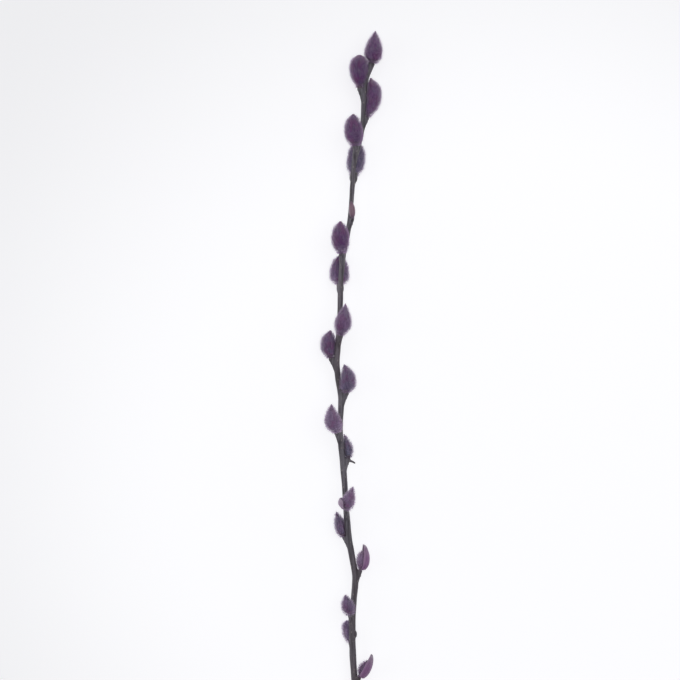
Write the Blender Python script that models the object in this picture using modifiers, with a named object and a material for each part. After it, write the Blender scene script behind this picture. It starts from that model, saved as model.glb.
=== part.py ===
"""A cut willow twig with silky plum catkins, lying on a flat surface.

Metres, +Z up. +Y runs along the twig from its cut end to its tip, and the surface it lies on is z = 0.
The stem is one body with the short pegs that carry the catkins. Each catkin, closed bud and bud scale
is a body of its own, seated on its peg. The sizes below are in millimetres and turned into metres once,
where a shape is made.
"""

import math
from collections import namedtuple

import bmesh
import bpy
from mathutils import Matrix, Vector

MM = 0.001
SEAT_GAP = 0.3
UP = Vector((0, 0, 1))

# The stem's centreline from the cut end to the tip: distance along the twig, offset across it, height.
STEM_PATH = (
    (-168.8, 1.2, 3.4),
    (-149.9, 2.3, 3.8),
    (-128.9, 2.5, 4.0),
    (-112.1, 1.9, 4.2),
    (-100.4, 1.0, 4.4),
    (-91.1, 0.5, 4.4),
    (-80.6, 0.35, 4.5),
    (-70.1, 1.0, 4.7),
    (-60.9, 1.6, 4.9),
    (-52.5, 0.3, 5.1),
    (-44.9, -0.95, 5.2),
    (-33.2, -2.15, 5.4),
    (-19.7, -3.0, 5.8),
    (-9.2, -4.0, 6.0),
    (1.3, -4.8, 6.0),
    (13.9, -4.4, 6.3),
    (23.1, -5.7, 6.5),
    (29.8, -6.1, 6.4),
    (39.1, -5.5, 6.5),
    (51.7, -4.8, 6.8),
    (66.4, -4.35, 6.8),
    (76.9, -3.0, 6.7),
    (87.4, -1.0, 6.7),
    (97.9, 0.0, 6.9),
    (110.5, 0.8, 6.8),
    (115.0, 1.4, 6.7),
    (121.0, 3.2, 6.6),
    (129.4, 4.6, 6.7),
    (139.9, 5.2, 6.9),
    (148.3, 6.1, 7.0),
    (155.3, 8.5, 7.1),
)
# The bare stem's radius at places along the twig. It flares at the tip to carry the end catkin.
STEM_RADIUS = (
    (-168.8, 1.50),
    (-92.0, 1.35),
    (0.0, 1.20),
    (56.0, 1.12),
    (101.0, 0.97),
    (139.9, 1.00),
    (148.3, 1.05),
    (155.3, 1.45),
)
STEM_RING_STEP = 4.0
STEM_ROUNDNESS = 3
# The cut end's plane: which way it faces, and how far up the twig it crosses the centreline.
CUT_SLANT = Vector((0.35, -1.0, 0.45))
CUT_INSET = 1.6

# A peg leaves the stem this far below its seat, and is widest at a shoulder just under the seat.
PEG_RUN = 9.0
PEG_RINGS = 7
PEG_ROUNDNESS = 2
PEG_FLARE = 2.1
PEG_ROOT_SHARE = 0.75
PEG_SEAT_BASE = 0.55
PEG_SEAT_SHARE = 0.10
PEG_TOP_SHARE = 0.78
PEG_SHOULDER = 0.5

# One row for each catkin, from the tip down. along: where its seat is along the twig. seat: the seat's
# offset from the stem's centreline, across and up. reach: from seat to tip. breadth lies across the
# stem's radius and depth along it. belly: where it is widest, as a share of its length. point: how
# sharp the tip is. foot: how conical it is below the belly. side: how full it is above the belly, where
# 1 is straight and 2 round. bow: how far the middle stands out from the line between seat and tip.
Catkin = namedtuple("Catkin", "number along seat reach breadth depth belly point foot side bow")
CATKINS = (
    Catkin(1, 155.3, (0.30, 0.0), (1.15, 13.08, 0.5), 7.40, 6.79, 0.30, 1.21, 0.44, 2.04, 0.09),
    Catkin(2, 144.8, (-2.09, 0.9), (-0.10, 13.35, 1.0), 7.19, 7.09, 0.64, 0.43, 0.67, 2.05, 0.73),
    Catkin(3, 132.8, (1.57, -0.4), (1.61, 16.17, -0.6), 6.32, 6.07, 0.62, 0.74, 0.49, 2.21, 2.33),
    Catkin(4, 120.6, (-1.39, 2.6), (-1.02, 12.60, 1.6), 7.56, 6.37, 0.37, 0.64, 0.44, 2.28, 1.18),
    Catkin(5, 108.2, (0.45, -2.3), (1.30, 14.25, -2.2), 7.61, 5.40, 0.41, 0.48, 0.64, 2.32, 1.30),
    Catkin(7, 75.5, (-0.88, 2.6), (-0.53, 12.88, 1.9), 7.25, 6.30, 0.45, 0.65, 0.46, 1.90, 1.28),
    Catkin(8, 62.7, (-0.43, -2.5), (0.23, 12.07, -2.1), 8.23, 5.00, 0.25, 0.65, 0.52, 2.24, 1.20),
    Catkin(9, 41.1, (0.68, 2.2), (2.12, 12.96, 1.9), 7.01, 6.18, 0.38, 1.14, 0.71, 1.57, 1.30),
    Catkin(10, 31.6, (-2.59, -1.0), (-0.18, 11.23, -0.5), 6.95, 6.26, 0.41, 0.73, 0.46, 2.08, 1.21),
    Catkin(11, 17.2, (2.63, 0.5), (-0.97, 11.33, 0.5), 7.16, 6.40, 0.26, 1.05, 0.45, 2.26, 1.34),
    Catkin(12, 0.6, (-1.44, 2.1), (-2.08, 11.38, 2.0), 6.89, 6.19, 0.31, 1.03, 0.48, 2.01, 1.60),
    Catkin(13, -10.7, (2.51, -1.2), (-1.71, 9.79, -0.5), 5.71, 4.29, 0.34, 1.21, 0.51, 1.75, 0.47),
    Catkin(14, -31.6, (-0.01, 3.1), (2.88, 9.22, 2.2), 5.23, 5.05, 0.20, 1.13, 0.57, 2.37, 1.29),
    Catkin(15, -43.6, (-1.99, -1.1), (-3.17, 9.96, -0.3), 5.55, 4.98, 0.25, 0.90, 0.44, 1.87, 0.16),
    Catkin(16, -57.8, (2.44, -0.3), (0.68, 7.87, -0.2), 4.74, 3.90, 0.49, 0.70, 0.58, 2.32, 0.34),
    Catkin(17, -76.1, (-1.11, 2.0), (-1.94, 8.10, 1.5), 5.46, 4.77, 0.32, 0.99, 0.45, 1.97, 0.56),
    Catkin(18, -88.4, (-0.63, -2.2), (-1.60, 8.51, -1.2), 5.40, 3.80, 0.45, 0.30, 0.43, 2.38, 0.60),
    Catkin(19, -102.7, (2.07, 0.5), (3.35, 6.73, 0.6), 4.24, 3.59, 0.52, 0.87, 0.63, 2.14, 0.05),
    Catkin(20, -118.9, (-2.00, 1.6), (-1.00, 8.60, 1.2), 4.80, 4.20, 0.45, 0.70, 0.50, 2.20, 0.80),
    Catkin(21, -134.0, (1.70, -1.9), (1.20, 8.60, -1.0), 4.70, 3.80, 0.45, 0.60, 0.50, 2.20, 0.70),
)
# Buds that are still shut in their scale, pressed to the stem.
CLOSED_BUDS = (
    Catkin(6, 89.9, (1.14, 2.0), (-0.41, 7.24, 0.3), 2.60, 2.15, 0.39, 0.80, 0.47, 2.17, 0.10),
    Catkin(22, -148.3, (-2.50, 0.7), (-0.20, 6.60, 0.2), 2.90, 2.10, 0.40, 0.75, 0.50, 2.20, 0.30),
)

# The scales that opened buds keep. facing: which way the scale's middle looks from the catkin's axis,
# in degrees from straight out of the stem, towards its left. span: how far it wraps to each side. foot
# and top: where it starts and ends, as shares of the catkin's length. flare: how far its tip stands out.
Scale = namedtuple("Scale", "number facing span foot top flare")
BUD_SCALES = (
    Scale(14, 85, 60, -0.04, 0.36, 0.5),
    Scale(16, 0, 85, 0.03, 1.32, 0.0),
    Scale(19, 0, 85, 0.03, 1.40, 0.0),
    Scale(20, 0, 75, 0.03, 0.90, 0.6),
)
SCALE_THICKNESS = 0.6
SCALE_CLEARANCE = 0.8
SCALE_TAPER = 2.2
SCALE_TIP_SHARE = 0.75
SCALE_HEM = 0.15
SCALE_COLUMNS = 7
SCALE_ROWS = 6

# What is left of a leaf stalk under one catkin: its root and its tip, from that catkin's seat.
STALK_UNDER = 13
STALK_ROOT = Vector((0.1, -1.0, 0.0))
STALK_TIP = Vector((3.0, -2.2, 0.1))
STALK_BEND = Vector((0.0, 0.25, 0.0))
STALK_RADII = (0.65, 0.35)

# A drop's skin. columns round it and rows along it, rise: how far a bract's tip stands out, lean: how
# far the tip leans on towards the catkin's tip, in rows.
Skin = namedtuple("Skin", "columns rows rise lean")
BRACTS = Skin(18, 13, 0.16, 0.30)
SHUT_SCALE = Skin(12, 9, 0.0, 0.0)
# How strongly the rows crowd towards the drop's two ends, from 0 to 1.
END_CROWDING = 0.8
# How full every drop is below its belly: 1 is a straight side, 2 a round one.
FOOT_FULLNESS = 2.4
# The side that faces the stem stands out by this share more, and is then pressed off the bark.
PRESSED_DEPTH = 0.4
STEM_CLEARANCE = 0.45

SMOOTH_ANGLE = math.radians(40)
BARK_SMOOTH_ANGLE = math.radians(50)
# Points closer than this, in metres, are one point.
WELD = 1e-6
ON_PLANE = 1e-7

COLOURS = {
    "bark": ((0.062, 0.052, 0.056), 0.62),
    "catkin": ((0.085, 0.032, 0.095), 0.85),
    "scale": ((0.230, 0.135, 0.225), 0.55),
    "bud": ((0.120, 0.060, 0.070), 0.50),
}


def clear_scene():
    """Empties the scene, so that the model starts from nothing."""
    for thing in list(bpy.data.objects):
        bpy.data.objects.remove(thing)


def material(name):
    """The named finish, made once and shared."""
    if name in bpy.data.materials:
        return bpy.data.materials[name]
    colour, roughness = COLOURS[name]
    made = bpy.data.materials.new(name)
    made.use_nodes = True
    shader = made.node_tree.nodes["Principled BSDF"]
    shader.inputs["Base Color"].default_value = (*colour, 1.0)
    shader.inputs["Roughness"].default_value = roughness
    shader.inputs["Metallic"].default_value = 0.0
    made.diffuse_color = (*colour, 1.0)
    return made


def along_curve(table, y):
    """The values of a table at y: a smooth cubic between rows, with each row's slope taken across it."""
    last = len(table) - 1
    i = max(0, min(last - 1, sum(row[0] <= y for row in table) - 1))
    low, high = table[i], table[i + 1]
    before, after = table[max(i - 1, 0)], table[min(i + 2, last)]
    run = high[0] - low[0]
    t = (y - low[0]) / run
    values = []
    for k in range(1, len(low)):
        slope_low = (high[k] - before[k]) / (high[0] - before[0]) * run
        slope_high = (after[k] - low[k]) / (after[0] - low[0]) * run
        values.append(
            (2 * t**3 - 3 * t**2 + 1) * low[k]
            + (t**3 - 2 * t**2 + t) * slope_low
            + (3 * t**2 - 2 * t**3) * high[k]
            + (t**3 - t**2) * slope_high
        )
    return values


def stem_centre(y):
    """The stem's centreline at y, in millimetres."""
    x, z = along_curve(STEM_PATH, y)
    return Vector((x, y, z))


def stem_radius(y):
    """The stem's radius at y, in millimetres, straight between the rows of its table."""
    for (y0, r0), (y1, r1) in zip(STEM_RADIUS, STEM_RADIUS[1:]):
        if y <= y1:
            return r0 + (r1 - r0) * (y - y0) / (y1 - y0)
    return STEM_RADIUS[-1][1]


def by_number(number):
    """The catkin with this number."""
    return next(catkin for catkin in CATKINS if catkin.number == number)


def seat_frame(catkin):
    """The matrix that carries a catkin's own frame to its place, in millimetres. Its origin is the seat,
    Z runs from the seat to the catkin's tip and Y points straight out of the stem."""
    root = stem_centre(catkin.along)
    across, up = catkin.seat
    seat = root + Vector((across, 0, up))
    on = Vector(catkin.reach).normalized()
    away = seat - root if catkin.along < STEM_PATH[-1][0] else UP
    out = (away - away.dot(on) * on).normalized()
    turn = Matrix((out.cross(on), out, on)).transposed()
    return Matrix.Translation(seat) @ turn.to_4x4()


def seat_radius(catkin):
    """The widest radius of the peg under a catkin, in millimetres."""
    return PEG_SEAT_BASE + PEG_SEAT_SHARE * catkin.breadth


def fullness(u, catkin, stretch=1.0):
    """A drop's radius at share u of its length, 1 at the belly: below it a foot, round where foot is 0.5
    and a cone where it is 1, and above it a side that ends round where point is low and in a cone where
    it is 1. stretch is how much longer than the catkin the form is drawn."""
    if u <= 0 or u >= 1:
        return 0.0
    belly = catkin.belly / stretch
    if u < belly:
        return (1 - (1 - u / belly) ** FOOT_FULLNESS) ** catkin.foot
    return (1 - ((u - belly) / (1 - belly)) ** catkin.side) ** catkin.point


def bowed(catkin, u):
    """The catkin's centreline at share u of its length, in its own frame: a parabola over its chord."""
    bow = catkin.bow * 4 * u * (1 - u) if 0 < u < 1 else 0.0
    return Vector((0, bow, SEAT_GAP + Vector(catkin.reach).length * u))


def on_ellipse(angle, across, outward):
    """A point of the section's ellipse, with angle 0 straight out of the stem."""
    return Vector((math.sin(angle) * across, math.cos(angle) * outward, 0))


def off_the_bark(point, out):
    """A point of the twig, moved out of the stem, the way that out looks, where it would lie too near
    the bark or behind it."""
    if point.y >= STEM_PATH[-1][0]:
        return point
    out = Vector((out.x, 0, out.z)).normalized()
    away = point - stem_centre(point.y)
    beside = away.dot(out.cross(Vector((0, 1, 0))))
    least = stem_radius(point.y) + STEM_CLEARANCE
    needed = math.sqrt(max(least**2 - beside**2, 0.0))
    return point + out * max(needed - away.dot(out), 0.0)


def finish_mesh(name, mesh_data, finish, collection, smooth_angle=SMOOTH_ANGLE):
    """Makes an object of a bmesh and gives it its finish, with round parts shaded smooth."""
    mesh = bpy.data.meshes.new(name)
    mesh_data.to_mesh(mesh)
    mesh_data.free()
    mesh.shade_smooth()
    mesh.set_sharp_from_angle(angle=smooth_angle)
    thing = bpy.data.objects.new(name, mesh)
    thing.data.materials.append(material(finish))
    collection.objects.link(thing)
    return thing


def face_outwards(mesh_data):
    """Turns every face of a closed body outwards."""
    bmesh.ops.recalc_face_normals(mesh_data, faces=list(mesh_data.faces))
    if mesh_data.calc_volume(signed=True) < 0:
        bmesh.ops.reverse_faces(mesh_data, faces=list(mesh_data.faces))


def trim_flat(mesh_data, point, normal):
    """Takes off what lies past a plane and closes the cut with one flat face."""
    geometry = list(mesh_data.verts) + list(mesh_data.edges) + list(mesh_data.faces)
    bmesh.ops.bisect_plane(
        mesh_data, geom=geometry, dist=ON_PLANE, plane_co=point, plane_no=normal, clear_outer=True
    )
    rim = [edge for edge in mesh_data.edges if edge.is_boundary]
    if rim:
        bmesh.ops.edgenet_fill(mesh_data, edges=rim)
        face_outwards(mesh_data)


def tube(name, points, radii, roundness, collection):
    """A round bar along points, with its own radius at each, as a closed mesh."""
    curve = bpy.data.curves.new(name, "CURVE")
    curve.dimensions = "3D"
    curve.bevel_depth = MM
    curve.bevel_resolution = roundness
    curve.use_fill_caps = True
    spline = curve.splines.new("POLY")
    spline.points.add(len(points) - 1)
    for knot, point, radius in zip(spline.points, points, radii):
        knot.co = (*(Vector(point) * MM), 1.0)
        knot.radius = radius
    line = bpy.data.objects.new(name + "_line", curve)
    collection.objects.link(line)
    graph = bpy.context.evaluated_depsgraph_get()
    mesh = bpy.data.meshes.new_from_object(line.evaluated_get(graph))
    bar = bpy.data.objects.new(name, mesh)
    bar.matrix_world = line.matrix_world
    collection.objects.link(bar)
    bpy.data.objects.remove(line)
    weld = bmesh.new()
    weld.from_mesh(mesh)
    bmesh.ops.remove_doubles(weld, verts=weld.verts, dist=WELD)
    face_outwards(weld)
    weld.to_mesh(mesh)
    weld.free()
    return bar


def peg(catkin, collection):
    """The short spur from inside the stem to a seat: it leaves slowly, then flares out to the seat."""
    frame = seat_frame(catkin)
    offset = frame.translation - stem_centre(catkin.along)
    points, radii = [], []
    for step in range(PEG_RINGS):
        t = step / (PEG_RINGS - 1)
        y = catkin.along - PEG_RUN * (1 - t)
        points.append(stem_centre(y) + offset * t**PEG_FLARE)
        root_radius = stem_radius(y) * PEG_ROOT_SHARE
        radii.append(root_radius + (seat_radius(catkin) - root_radius) * t)
    points.insert(-1, frame @ Vector((0, 0, -PEG_SHOULDER)))
    radii.append(seat_radius(catkin) * PEG_TOP_SHARE)
    return tube(f"peg_{catkin.number:02d}", points, radii, PEG_ROUNDNESS, collection)


def stalk_stub(catkin, collection):
    """A leaf stalk's dry stub, which sticks out of the peg under a catkin."""
    seat = seat_frame(catkin).translation
    root, tip = seat + STALK_ROOT, seat + STALK_TIP
    middle = (root + tip) / 2 + STALK_BEND
    thick, thin = STALK_RADII
    radii = (thick, (thick + thin) / 2, thin)
    return tube("stalk_stub", (root, middle, tip), radii, PEG_ROUNDNESS, collection)


def build_stem(collection):
    """The stem with its pegs, joined in one body and cut on a slant at the lower end."""
    start, end = STEM_PATH[0][0], STEM_PATH[-1][0]
    count = round((end - start) / STEM_RING_STEP)
    stations = [start + (end - start) * i / count for i in range(count + 1)]
    stem = tube(
        "stem",
        [stem_centre(y) for y in stations],
        [stem_radius(y) for y in stations],
        STEM_ROUNDNESS,
        collection,
    )
    spurs = bpy.data.collections.new("spurs")
    bpy.context.scene.collection.children.link(spurs)
    for catkin in CATKINS[1:] + CLOSED_BUDS:
        peg(catkin, spurs)
    stalk_stub(by_number(STALK_UNDER), spurs)

    join = stem.modifiers.new("join_spurs", "BOOLEAN")
    join.operation = "UNION"
    join.operand_type = "COLLECTION"
    join.collection = spurs
    join.solver = "EXACT"
    graph = bpy.context.evaluated_depsgraph_get()
    joined = bmesh.new()
    joined.from_mesh(stem.evaluated_get(graph).to_mesh())
    for spur in list(spurs.objects):
        bpy.data.objects.remove(spur)
    bpy.data.collections.remove(spurs)
    bpy.data.objects.remove(stem)
    trim_flat(joined, (stem_centre(start) + Vector((0, CUT_INSET, 0))) * MM, CUT_SLANT)
    return finish_mesh("stem", joined, "bark", collection, BARK_SMOOTH_ANGLE)


def place_on_seat(thing, catkin, stem):
    """Moves and turns a piece from its catkin's own frame to its seat, and hangs it on the stem."""
    frame = seat_frame(catkin)
    thing.location = frame.translation * MM
    thing.rotation_euler = frame.to_euler()
    thing.parent = stem


def build_catkin(catkin, skin, name, finish, stem, collection):
    """A drop whose skin is raised into bracts: on a ball's grid every second point, row by row, is a
    bract's tip, which stands out and leans on towards the catkin's tip."""
    drop = bmesh.new()
    bmesh.ops.create_uvsphere(drop, u_segments=skin.columns, v_segments=skin.rows, radius=1)
    frame = seat_frame(catkin)
    into_frame = frame.inverted()
    out = frame.to_3x3() @ Vector((0, 1, 0))
    on_side = catkin.along < STEM_PATH[-1][0]
    tips = set()
    for vertex in drop.verts:
        share = math.acos(max(-1, min(1, -vertex.co.z))) / math.pi
        angle = math.atan2(vertex.co.y, vertex.co.x)
        row, column = round(share * skin.rows), round(angle / math.tau * skin.columns)
        is_tip = (row + column) % 2 == 0 and 0 < row < skin.rows
        u = share - END_CROWDING / math.tau * math.sin(math.tau * share)
        fade = math.sin(math.pi * share)
        if is_tip:
            tips.add(vertex)
            u += skin.lean / skin.rows * fade
        full = fullness(u, catkin)
        rise = skin.rise * fade * (1 if is_tip else -1)
        ring = on_ellipse(angle, catkin.breadth / 2 * full + rise, catkin.depth / 2 * full + rise)
        if ring.y < 0 and on_side:
            ring.y *= 1 + PRESSED_DEPTH * (1 - u**2)
        place = frame @ (bowed(catkin, u) + ring)
        vertex.co = (into_frame @ off_the_bark(place, out) if on_side else bowed(catkin, u) + ring) * MM
    for face in [f for f in drop.faces if len(f.verts) == 4]:
        low = [corner for corner in face.verts if corner not in tips]
        bmesh.utils.face_split(face, low[0], low[1])
    face_outwards(drop)
    if min((frame @ (vertex.co / MM)).z for vertex in drop.verts) < 0:
        floor_point = into_frame @ Vector()
        trim_flat(drop, floor_point * MM, frame.to_3x3().transposed() @ -UP)
    made = finish_mesh(name, drop, finish, collection)
    place_on_seat(made, catkin, stem)
    return made


def build_scale(scale, catkin, stem, collection):
    """A bud scale: a curved sheet that starts at the collar under the catkin, follows the catkin's skin a
    little way off, narrows to a tip that stands out, and then gets its thickness outwards."""
    sheet = bmesh.new()
    bmesh.ops.create_grid(sheet, x_segments=SCALE_COLUMNS - 1, y_segments=SCALE_ROWS - 1, size=1)
    facing, span = math.radians(scale.facing), math.radians(scale.span)
    stretch = max(scale.top, 1.0)
    collar = seat_radius(catkin)
    for vertex in sheet.verts:
        across, v = vertex.co.x, (vertex.co.y + 1) / 2
        hem = 1 - SCALE_HEM * across**2 * (1 - v)
        u = scale.foot + (scale.top - scale.foot) * v * hem
        foot_radius = collar * (1 - max(u, 0.0) / stretch)
        narrowing = SCALE_TIP_SHARE + (1 - SCALE_TIP_SHARE) * math.sqrt(1 - min(v, 1.0) ** SCALE_TAPER)
        full = fullness(u / stretch, catkin, stretch)
        ring = on_ellipse(
            facing - across * span * narrowing,
            max(catkin.breadth / 2 * full, foot_radius) + SCALE_CLEARANCE,
            max(catkin.depth / 2 * full, foot_radius) + SCALE_CLEARANCE,
        )
        flare = on_ellipse(facing, scale.flare, scale.flare) * v**2
        vertex.co = (bowed(catkin, u) + ring + flare) * MM
    made = finish_mesh(f"bud_scale_{scale.number:02d}", sheet, "scale", collection)
    thick = made.modifiers.new("thickness", "SOLIDIFY")
    thick.thickness = SCALE_THICKNESS * MM
    thick.offset = 1.0
    place_on_seat(made, catkin, stem)
    return made


def main():
    clear_scene()
    twig = bpy.data.collections.new("willow_twig")
    bpy.context.scene.collection.children.link(twig)
    stem = build_stem(twig)
    for catkin in CATKINS:
        build_catkin(catkin, BRACTS, f"catkin_{catkin.number:02d}", "catkin", stem, twig)
    for bud in CLOSED_BUDS:
        build_catkin(bud, SHUT_SCALE, f"closed_bud_{bud.number:02d}", "bud", stem, twig)
    for scale in BUD_SCALES:
        build_scale(scale, by_number(scale.number), stem, twig)


if __name__ == "__main__":
    main()
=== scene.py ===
"""The look of a cut willow twig: bark, bracts, silk, shut buds, bud scales and the stage.

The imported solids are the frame. Each operator below makes one piece, or one group of like pieces, as
surfaces worked out with numpy in millimetres and turned into metres when the mesh is made. The tables
repeat the sizes and places that the solids are made from, so a finer piece keeps its solid's form.
"""

import math
from collections import namedtuple

import bmesh
import bpy
import numpy as np
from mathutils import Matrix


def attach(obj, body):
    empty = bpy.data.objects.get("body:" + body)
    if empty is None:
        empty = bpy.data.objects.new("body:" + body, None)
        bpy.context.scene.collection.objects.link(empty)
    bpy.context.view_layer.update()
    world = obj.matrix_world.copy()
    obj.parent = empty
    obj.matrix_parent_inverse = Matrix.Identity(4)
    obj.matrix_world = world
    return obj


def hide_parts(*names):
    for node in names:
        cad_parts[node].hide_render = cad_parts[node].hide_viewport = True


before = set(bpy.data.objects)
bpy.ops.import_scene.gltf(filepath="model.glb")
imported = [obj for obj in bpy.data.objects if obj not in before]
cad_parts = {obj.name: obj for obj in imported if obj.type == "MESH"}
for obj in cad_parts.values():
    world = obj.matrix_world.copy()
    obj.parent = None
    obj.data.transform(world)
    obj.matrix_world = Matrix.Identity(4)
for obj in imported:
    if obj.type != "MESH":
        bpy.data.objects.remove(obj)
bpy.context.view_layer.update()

bl_info = {
    "name": "Willow Twig",
    "version": (1, 0, 0),
    "blender": (4, 5, 0),
    "location": "View3D > Sidebar > Willow Twig",
    "description": "Builds the visible surfaces of a willow twig with silky catkins round its solids",
    "category": "Add Mesh",
}

MM = 0.001
BODY = "root"
# Between a peg and its catkin.
SEAT_GAP = 0.3

# The stem's centreline from the cut end to the tip: distance along the twig, offset across it, height.
STEM_PATH = np.array((
    (-168.8, 1.2, 3.4), (-149.9, 2.3, 3.8), (-128.9, 2.5, 4.0), (-112.1, 1.9, 4.2),
    (-100.4, 1.0, 4.4), (-91.1, 0.5, 4.4), (-80.6, 0.35, 4.5), (-70.1, 1.0, 4.7),
    (-60.9, 1.6, 4.9), (-52.5, 0.3, 5.1), (-44.9, -0.95, 5.2), (-33.2, -2.15, 5.4),
    (-19.7, -3.0, 5.8), (-9.2, -4.0, 6.0), (1.3, -4.8, 6.0), (13.9, -4.4, 6.3),
    (23.1, -5.7, 6.5), (29.8, -6.1, 6.4), (39.1, -5.5, 6.5), (51.7, -4.8, 6.8),
    (66.4, -4.35, 6.8), (76.9, -3.0, 6.7), (87.4, -1.0, 6.7), (97.9, 0.0, 6.9),
    (110.5, 0.8, 6.8), (115.0, 1.4, 6.7), (121.0, 3.2, 6.6), (129.4, 4.6, 6.7),
    (139.9, 5.2, 6.9), (148.3, 6.1, 7.0), (155.3, 8.5, 7.1),
))
# The stem's radius: distance along the twig, radius.
STEM_RADIUS = np.array((
    (-168.8, 1.50), (-92.0, 1.35), (0.0, 1.20), (56.0, 1.12),
    (101.0, 0.97), (139.9, 1.00), (148.3, 1.05), (155.3, 1.45),
))
# The cut: which way it faces, and how far up from the stem's lower end its middle lies.
CUT_NORMAL = np.array((0.35, -1.0, 0.45))
CUT_INSET = 1.6

# A peg: the stretch of stem that it leaves over and the power of its path, its root next to the stem's
# radius, its radius at the seat from a base and a share of the catkin's breadth, and its low dome.
PEG_RUN = 9.0
PEG_FLARE = 2.1
PEG_ROOT_SHARE = 0.75
PEG_SEAT_BASE = 0.55
PEG_SEAT_SHARE = 0.10
PEG_DOME = 0.12
PEG_DOME_SHARES = (0.96, 0.78)
# Height, middle and width of the collar round a peg and of the stem's swelling under a seat.
COLLAR = (0.10, 0.93, 0.035)
STEM_SWELL = (0.10, 6.0, 3.0)
# A leaf scar: how far it lies under the seat, and its half sizes out of the peg, across it and along it.
SCAR_UNDER_SEAT = 2.4
SCAR_SIZES = (0.34, 0.78, 0.42)

# One row for each catkin: where its seat is along the twig, and across and up from the stem's centreline;
# its reach from seat to tip; belly: where it is widest, as a share of its length; how sharp its tip is,
# how conical its foot and how full its side above the belly; and how far its middle bows out. Its silk is
# plum, turned towards grey violet by a share that is partly its own greyer tone and partly painted shade on
# catkins that lie in shade, and by pale towards lilac; fringe: how pale its foot is.
Catkin = namedtuple(
    "Catkin", "number along seat reach breadth depth belly point foot side bow dusk pale fringe"
)
CATKINS = tuple(Catkin(*row) for row in (
    (1, 155.3, (0.3, 0.0), (1.15, 13.08, 0.5), 7.4, 6.79, 0.3, 1.21, 0.44, 2.04, 0.09, 0.02, 0.08, 0.45),
    (2, 144.8, (-2.09, 0.9), (-0.1, 13.35, 1.0), 7.19, 7.09, 0.64, 0.43, 0.67, 2.05, 0.73, 0.0, 0.0, 0.15),
    (3, 132.8, (1.57, -0.4), (1.61, 16.17, -0.6), 6.32, 6.07, 0.62, 0.74, 0.49, 2.21, 2.33, 0.06, 0.09, 0.35),
    (4, 120.6, (-1.39, 2.6), (-1.02, 12.6, 1.6), 7.56, 6.37, 0.37, 0.64, 0.44, 2.28, 1.18, 0.02, 0.06, 0.5),
    (5, 108.2, (0.45, -2.3), (1.3, 14.25, -2.2), 7.61, 5.4, 0.41, 0.48, 0.64, 2.32, 1.3, 0.75, 0.04, 0.45),
    (7, 75.5, (-0.88, 2.6), (-0.53, 12.88, 1.9), 7.25, 6.3, 0.45, 0.65, 0.46, 1.9, 1.28, 0.0, 0.06, 1.0),
    (8, 62.7, (-0.43, -2.5), (0.23, 12.07, -2.1), 8.23, 5.0, 0.25, 0.65, 0.52, 2.24, 1.2, 0.3, 0.15, 0.65),
    (9, 41.1, (0.68, 2.2), (2.12, 12.96, 1.9), 7.01, 6.18, 0.38, 1.14, 0.71, 1.57, 1.3, 0.25, 0.24, 0.45),
    (10, 31.6, (-2.59, -1.0), (-0.18, 11.23, -0.5),
     6.95, 6.26, 0.41, 0.73, 0.46, 2.08, 1.21, 0.45, 0.08, 0.4),
    (11, 17.2, (2.63, 0.5), (-0.97, 11.33, 0.5), 7.16, 6.4, 0.26, 1.05, 0.45, 2.26, 1.34, 0.6, 0.08, 0.45),
    (12, 0.6, (-1.44, 2.1), (-2.08, 11.38, 2.0), 6.89, 6.19, 0.31, 1.03, 0.48, 2.01, 1.6, 0.4, 0.4, 1.0),
    (13, -10.7, (2.51, -1.2), (-1.71, 9.79, -0.5), 5.71, 4.29, 0.34, 1.21, 0.51, 1.75, 0.47, 1.0, 0.02, 0.15),
    (14, -31.6, (-0.01, 3.1), (2.88, 9.22, 2.2), 5.23, 5.05, 0.2, 1.13, 0.57, 2.37, 1.29, 0.25, 0.44, 0.9),
    (15, -43.6, (-1.99, -1.1), (-3.17, 9.96, -0.3), 5.55, 4.98, 0.25, 0.9, 0.44, 1.87, 0.16, 0.8, 0.1, 0.15),
    (16, -57.8, (2.44, -0.3), (0.68, 7.87, -0.2), 4.74, 3.9, 0.49, 0.7, 0.58, 2.32, 0.34, 0.3, 0.68, 0.3),
    (17, -76.1, (-1.11, 2.0), (-1.94, 8.1, 1.5), 5.46, 4.77, 0.32, 0.99, 0.45, 1.97, 0.56, 0.6, 0.16, 0.9),
    (18, -88.4, (-0.63, -2.2), (-1.6, 8.51, -1.2), 5.4, 3.8, 0.45, 0.3, 0.43, 2.38, 0.6, 0.8, 0.34, 0.6),
    (19, -102.7, (2.07, 0.5), (3.35, 6.73, 0.6), 4.24, 3.59, 0.52, 0.87, 0.63, 2.14, 0.05, 0.45, 0.24, 0.45),
    (20, -118.9, (-2.0, 1.6), (-1.0, 8.6, 1.2), 4.8, 4.2, 0.45, 0.7, 0.5, 2.2, 0.8, 0.5, 0.15, 0.5),
    (21, -134.0, (1.7, -1.9), (1.2, 8.6, -1.0), 4.7, 3.8, 0.45, 0.6, 0.5, 2.2, 0.7, 0.7, 0.15, 0.5),
))
SHUT_BUDS = tuple(Catkin(*row) for row in (
    (6, 89.9, (1.14, 2.0), (-0.41, 7.24, 0.3), 2.6, 2.15, 0.39, 0.8, 0.47, 2.17, 0.1, 0.5, 0.1, 0.0),
    (22, -148.3, (-2.5, 0.7), (-0.2, 6.6, 0.2), 2.9, 2.1, 0.4, 0.75, 0.5, 2.2, 0.3, 0.5, 0.1, 0.0),
))
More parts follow.
